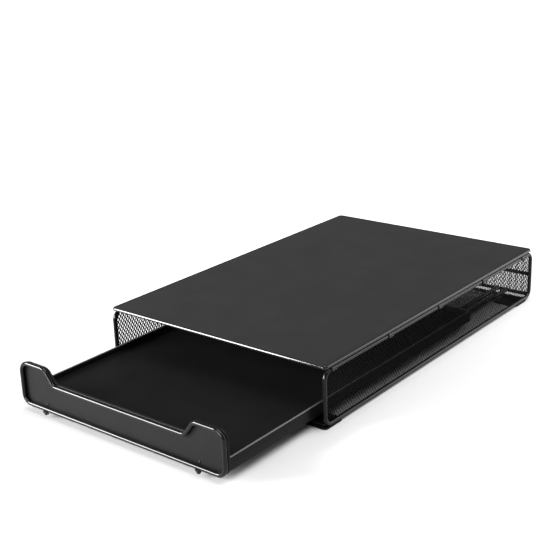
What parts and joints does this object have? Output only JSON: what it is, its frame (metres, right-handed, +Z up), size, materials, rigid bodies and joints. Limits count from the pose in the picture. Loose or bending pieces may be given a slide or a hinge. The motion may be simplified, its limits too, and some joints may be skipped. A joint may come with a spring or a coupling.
{
  "type": "coffee pod storage drawer",
  "caption": "Low wire case with mesh sides and a flat sheet top that carries an appliance, with a shallow sliding drawer for pods behind a notched front panel",
  "frame": {"origin": "On the table, under the middle of the whole object's box with the drawer open as pictured", "axes": "+X across the case to the right as seen from the front, +Y from the drawer's front to the case's back, +Z up"},
  "size_m": [0.2556, 0.5094, 0.058],
  "materials": {
    "wire": "smooth gloss black coating",
    "mesh": "black coating on expanded metal",
    "top_sheet": "satin dark grey coating",
    "foot_sheet": "black coating",
    "panel_sheet": "satin dark grey coating",
    "rivet": "dark coating",
    "rubber": "matte black",
    "strip_sheet": "satin black coating",
    "floor_sheet": "satin black coating",
    "glide": "matte black moulded plastic"
  },
  "bodies": {
    "case": {"top_plate": "top_sheet", "left_clip_1": "wire", "left_clip_2": "wire", "left_clip_3": "wire", "left_clip_4": "wire", "left_clip_5": "wire", "right_clip_1": "wire", "right_clip_2": "wire", "right_clip_3": "wire", "right_clip_4": "wire", "right_clip_5": "wire", "left_side_frame": "wire", "right_side_frame": "wire", "left_side_mesh": "mesh", "right_side_mesh": "mesh", "back_high_wire": "wire", "back_crossbar": "wire", "back_low_wire": "wire", "back_mesh": "mesh", "front_sill": "wire", "front_rail_bar": "wire", "rear_rail_bar": "wire", "left_inner_rail": "wire", "left_outer_rail": "wire", "right_inner_rail": "wire", "right_outer_rail": "wire", "left_rail_stop": "wire", "right_rail_stop": "wire", "front_left_foot": "foot_sheet", "front_right_foot": "foot_sheet", "rear_left_foot": "foot_sheet", "rear_right_foot": "foot_sheet"},
    "drawer": {"front_rim": "wire", "front_panel": "panel_sheet", "left_rivet": "rivet", "right_rivet": "rivet", "left_bumper": "rubber", "right_bumper": "rubber", "left_side_strip": "strip_sheet", "right_side_strip": "strip_sheet", "back_strip": "strip_sheet", "floor_sheet": "floor_sheet", "front_cross_wire": "wire", "middle_cross_wire": "wire", "rear_cross_wire": "wire", "front_left_glide": "glide", "front_right_glide": "glide", "rear_left_glide": "glide", "rear_right_glide": "glide"}
  },
  "joints": [
    {"name": "drawer_slide", "type": "slide", "parent": "case", "child": "drawer", "axis": [0, -1, 0], "range_m": [-0.118, 0.119]}
  ]
}
